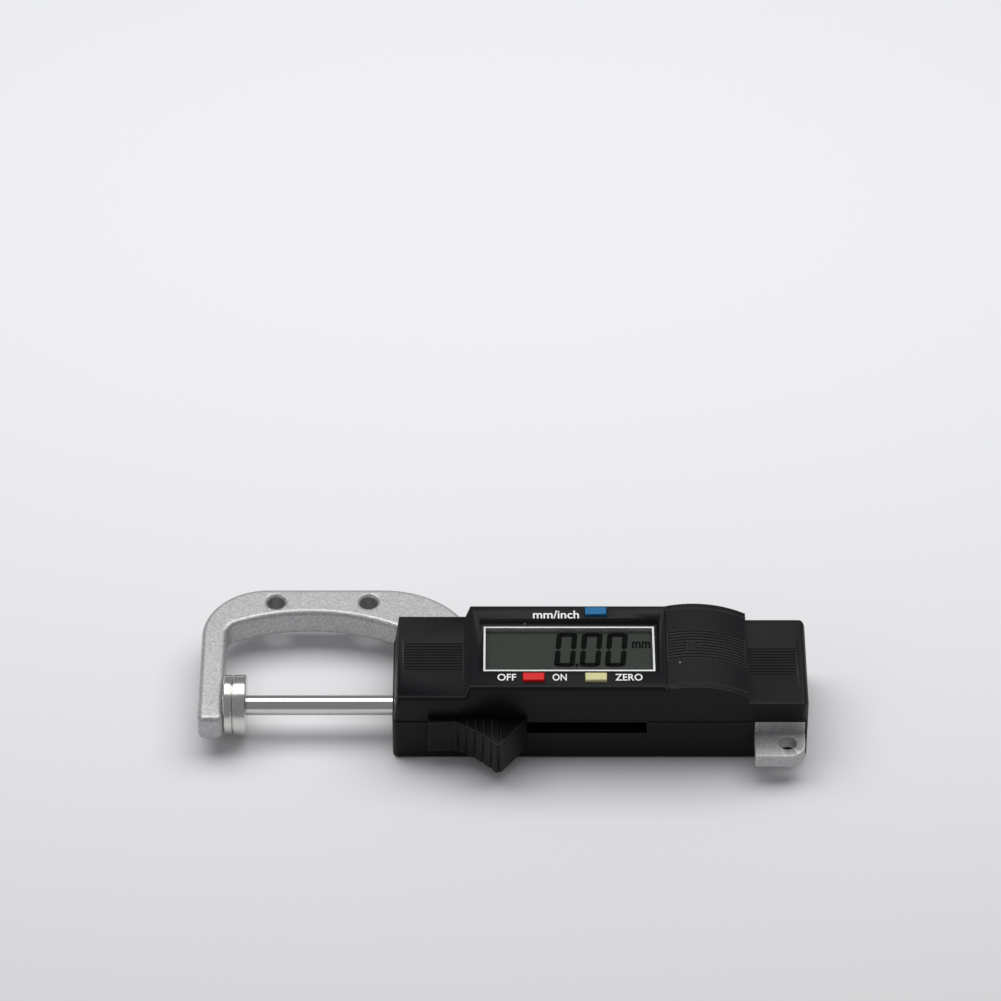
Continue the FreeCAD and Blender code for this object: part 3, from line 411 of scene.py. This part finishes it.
# Display figures. Three seven-segment noughts, a point and the unit, slightly italic. Each bar
# is a thin plate with its corners cut off.
ink_black, tree, surface = new_material("display_segments", (0.003, 0.004, 0.003), 0.6)
surface.inputs["Specular IOR Level"].default_value = 0.02
segment_grain = add_group(tree, grain, Size=0.4 * MM, Softness=0.4)
colour_from(
    tree, surface, segment_grain.outputs["Patches"], (0.003, 0.004, 0.003), (0.005, 0.006, 0.004),
)
panel_low, panel_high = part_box("display_bezel")
figure_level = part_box("lcd_panel")[1].z + 0.02 * MM
figure_depth = 0.03 * MM
bar_width = 1.1 * MM
figure_width = 4.15 * MM
figure_height = 9.6 * MM
figure_lean = 0.073
figure_bottom = panel_low.y + 2.35 * MM
figure_lefts = [panel_low.x + step * MM for step in (13.98, 19.03, 24.08)]


def lean_over(x, y):
    """The place of a point of the display, leaned with the figures."""
    return x + (y - figure_bottom) * figure_lean, y


def display_bar(name, centre, length, width, upright, cut=0.4 * bar_width):
    x, y = lean_over(*centre)
    bpy.ops.object.select_all(action="DESELECT")
    bpy.ops.mesh.primitive_plane_add(size=1, location=(x, y, figure_level))
    bar = bpy.context.object
    bar.name = name
    bar.scale = (width, length, 1) if upright else (length, width, 1)
    bpy.ops.object.transform_apply(location=False, rotation=False, scale=True)
    bpy.ops.object.mode_set(mode="EDIT")
    bpy.ops.mesh.bevel(offset=cut, affect="VERTICES")
    bpy.ops.mesh.extrude_region_move(TRANSFORM_OT_translate={"value": (0, 0, figure_depth)})
    bpy.ops.mesh.select_all(action="SELECT")
    bpy.ops.mesh.normals_make_consistent(inside=False)
    bpy.ops.object.mode_set(mode="OBJECT")
    for vertex in bar.data.vertices:
        vertex.co.x += vertex.co.y * figure_lean
    bpy.ops.object.transform_apply(location=True, rotation=False, scale=False)
    return bar


def nought(name, left):
    """The six lit bars of a nought."""
    middle = left + figure_width / 2
    quarter = figure_height / 4
    flat = figure_width - 0.9 * bar_width
    tall = figure_height / 2 - 0.25 * bar_width
    bars = []
    for level, y in (("low", bar_width / 2), ("high", figure_height - bar_width / 2)):
        bars.append(display_bar(name + level, (middle, figure_bottom + y), flat, bar_width, False))
    for side, x in (("left", bar_width / 2), ("right", figure_width - bar_width / 2)):
        for part, y in (("low", quarter), ("high", 3 * quarter)):
            place = (left + x, figure_bottom + y)
            bars.append(display_bar(name + side + part, place, tall, bar_width, True))
    return bars


def join(pieces, name):
    select_only(pieces[0])
    for piece in pieces[1:]:
        piece.select_set(True)
    bpy.ops.object.join()
    joined = bpy.context.object
    joined.name = name
    return joined


for place, left in enumerate(figure_lefts):
    figure = join(nought("bar_%d_" % place, left), "display_figure_%d" % place)
    dress(figure, ink_black, "body")
point_place = (figure_lefts[1] - 0.45 * MM, figure_bottom + 0.45 * MM)
point = display_bar("display_point", point_place, 0.9 * MM, 0.62 * MM, True, 0.06 * MM)
dress(point, ink_black, "body")


def lettering(name, words, centre, size, depth, level, bold):
    """Words as a thin mesh, stretched to a width and a height, centred on a point."""
    half_depth = 0.01
    bpy.ops.object.select_all(action="DESELECT")
    bpy.ops.object.text_add(location=(0, 0, 0))
    text = bpy.context.object
    text.name = name
    text.data.body = words
    text.data.size = 1
    text.data.offset = bold
    text.data.resolution_u = 4
    text.data.extrude = half_depth
    bpy.ops.object.convert(target="MESH")
    corners = [vertex.co for vertex in text.data.vertices]
    low = Vector((min(c.x for c in corners), min(c.y for c in corners), 0))
    high = Vector((max(c.x for c in corners), max(c.y for c in corners), 0))
    stretch = (size[0] / (high.x - low.x), size[1] / (high.y - low.y))
    middle = (low + high) / 2
    for vertex in text.data.vertices:
        vertex.co.x = centre[0] + (vertex.co.x - middle.x) * stretch[0]
        vertex.co.y = centre[1] + (vertex.co.y - middle.y) * stretch[1]
        vertex.co.z = level + depth * (0.5 + vertex.co.z / (2 * half_depth))
    return text


unit_centre = (panel_high.x - 2.65 * MM, panel_low.y + 8.6 * MM)
unit_size = (3.7 * MM, 1.9 * MM)
unit = lettering("display_unit", "mm", unit_centre, unit_size, figure_depth, figure_level, 0.028)
dress(unit, ink_black, "body")


# Shells. Upper and lower halves of the case, moulded in black ABS with a fine spark-eroded
# texture, screwed together through the casting.
def black_moulding(name, colour, roughness, grain_size, grain_depth, dusty):
    """Black plastic: grain, softer patches from handling, painted edge highlights and a few dust
    specks.
    """
    material, tree, surface = new_material(name, colour, roughness)
    surface.inputs["Specular IOR Level"].default_value = 0.15
    texture = add_group(tree, grain, Size=grain_size, Softness=0.55)
    edges = add_group(tree, edge_wear_and_highlight, Reach=0.28 * MM, Breakup=0.5)
    specks = add_group(tree, dust, Spacing=2.2 * MM, Amount=dusty)
    # Painted highlight: the edges are coloured paler where light would catch their rounding.
    painted_edge_highlight = tuple(part * 5 + 0.06 for part in colour)
    base = tinted(tree, edges.outputs["Edge"], colour, painted_edge_highlight)
    dusted = tree.nodes.new("ShaderNodeMix")
    dusted.data_type = "RGBA"
    dusted.inputs["B"].default_value = (0.3, 0.3, 0.29, 1)
    tree.links.new(base, dusted.inputs["A"])
    tree.links.new(specks.outputs["Dust"], dusted.inputs["Factor"])
    tree.links.new(dusted.outputs["Result"], surface.inputs["Base Color"])
    roughness_from(tree, surface, texture.outputs["Patches"], 0.18, roughness - 0.09)
    rounding = edges.outputs["Rounded"]
    bump_from(tree, surface, texture.outputs["Grain"], grain_depth, 0.7, rounding)
    return material


case_black = black_moulding(
    "case_black", (0.006, 0.0063, 0.0074), 0.4, 0.16 * MM, 0.01 * MM, 0.02,
)
slide_black = black_moulding(
    "slide_black", (0.005, 0.0052, 0.006), 0.34, 0.2 * MM, 0.006 * MM, 0.01,
)
dress(softened("front_housing"), case_black, "body", "front_housing")
dress(softened("back_cover"), case_black, "body", "back_cover")

# Battery cover. Ribbed arch that slides off towards the tail, with a raised arrow. The lands
# between its grooves are brought up to the arc where long facets cut across it, and curved faces
# take the arc's true normals.
arch_centre = Vector((38.1 * MM, 0, -1.7 * MM))
arch_radius = 21.5 * MM


def out_of_arch(point):
    """The direction from the arch's axis to a point, and its distance."""
    away = point - arch_centre
    away.y = 0
    return away.normalized(), away.length


def on_arch(mesh, face):
    corners = [out_of_arch(mesh.vertices[corner].co)[1] for corner in face.vertices]
    return all(abs(reach - arch_radius) < 0.005 * MM for reach in corners)


cover = softened("battery_cover")
bpy.ops.object.mode_set(mode="EDIT")
bpy.ops.mesh.select_mode(type="FACE")
bpy.ops.mesh.select_all(action="DESELECT")
bpy.ops.object.mode_set(mode="OBJECT")
for face in cover.data.polygons:
    sunk = out_of_arch(face.center)[1] < arch_radius - 0.02 * MM
    face.select = sunk and on_arch(cover.data, face)
bpy.ops.object.mode_set(mode="EDIT")
bpy.ops.mesh.subdivide(number_cuts=6)
bpy.ops.object.mode_set(mode="OBJECT")
for vertex in cover.data.vertices:
    if vertex.select:
        direction, reach = out_of_arch(vertex.co)
        vertex.co += direction * (arch_radius - reach)
normals = []
for face in cover.data.polygons:
    along_arch = face.normal.dot(out_of_arch(face.center)[0])
    curved = abs(along_arch) > 0.985 or on_arch(cover.data, face)
    for corner in face.vertices:
        radial = math.copysign(1, along_arch) * out_of_arch(cover.data.vertices[corner].co)[0]
        normals.append(radial if curved else face.normal.copy())
cover.data.normals_split_custom_set(normals)
bpy.ops.object.mode_set(mode="EDIT")
bpy.ops.mesh.select_mode(type="VERT")
bpy.ops.object.mode_set(mode="OBJECT")
dress(cover, case_black, "battery_door", "battery_cover")
cell_steel, tree, surface = new_material("cell_can", (0.62, 0.62, 0.6), 0.3, 1.0)
can = add_group(tree, grain, Size=0.4 * MM, Softness=0.5)
roughness_from(tree, surface, can.outputs["Patches"], 0.16, 0.22)
finish_node("battery", cell_steel)

# Thumb slide. Ribbed piece in the slot of the lower edge, which the thumb pushes to open the jaws.
dress(softened("thumb_slide"), slide_black, "spindle", "thumb_slide")


# Buttons. Three small coloured keys, moulded through, each over a snap dome.
def key_plastic(name, colour):
    material, tree, surface = new_material(name, colour, 0.35)
    surface.inputs["Specular IOR Level"].default_value = 0.3
    texture = add_group(tree, grain, Size=0.3 * MM, Softness=0.5)
    darker = tuple(part * 0.82 for part in colour)
    colour_from(tree, surface, texture.outputs["Patches"], darker, colour)
    bump_from(tree, surface, texture.outputs["Grain"], 0.006 * MM)
    return material


KEYS = {
    "power": ("red_button", (0.74, 0.008, 0.005)),
    "zero": ("yellow_button", (0.72, 0.68, 0.34)),
    "unit": ("blue_button", (0.006, 0.15, 0.36)),
}
for key, (slot, colour) in KEYS.items():
    node = key + "_button"
    cap = softened(node)
    dress(cap, key_plastic(slot + "_plastic", colour), key + "_key", node)

# Printed words. White ink beside the buttons, only naming what each does.
white_ink, tree, surface = new_material("white_ink", (0.8, 0.8, 0.8), 0.5)
ink_grain = add_group(tree, grain, Size=0.15 * MM, Softness=0.6)
colour_from(tree, surface, ink_grain.outputs["Grain"], (0.84, 0.84, 0.85), (0.95, 0.95, 0.95))
# Each row gives the words, the button beside them, how far they lie across and up from it, and
# their width and height, in millimetres.
button_height = 0.7 * MM
half_button = 1.05 * MM
ink_depth = 0.015 * MM
face_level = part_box("power_button")[1].z - button_height
WORDS = [
    ("OFF", "power_button", -5.3, 0.3, 3.7, 1.9),
    ("ON", "power_button", 5.15, 0.3, 2.8, 1.9),
    ("ZERO", "zero_button", 6.5, 0.3, 5.4, 1.9),
    ("mm/inch", "unit_button", -7.95, -0.5, 9.2, 2.3),
]
for words, node, across, up, width, height in WORDS:
    low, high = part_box(node)
    row = high.y - half_button if node == "unit_button" else low.y + half_button
    centre = ((low.x + high.x) / 2 + across * MM, row + up * MM)
    name = "label_" + words.replace("/", "_").lower()
    label = lettering(
        name, words, centre, (width * MM, height * MM), ink_depth, face_level, 0.012,
    )
    dress(label, white_ink, "body")
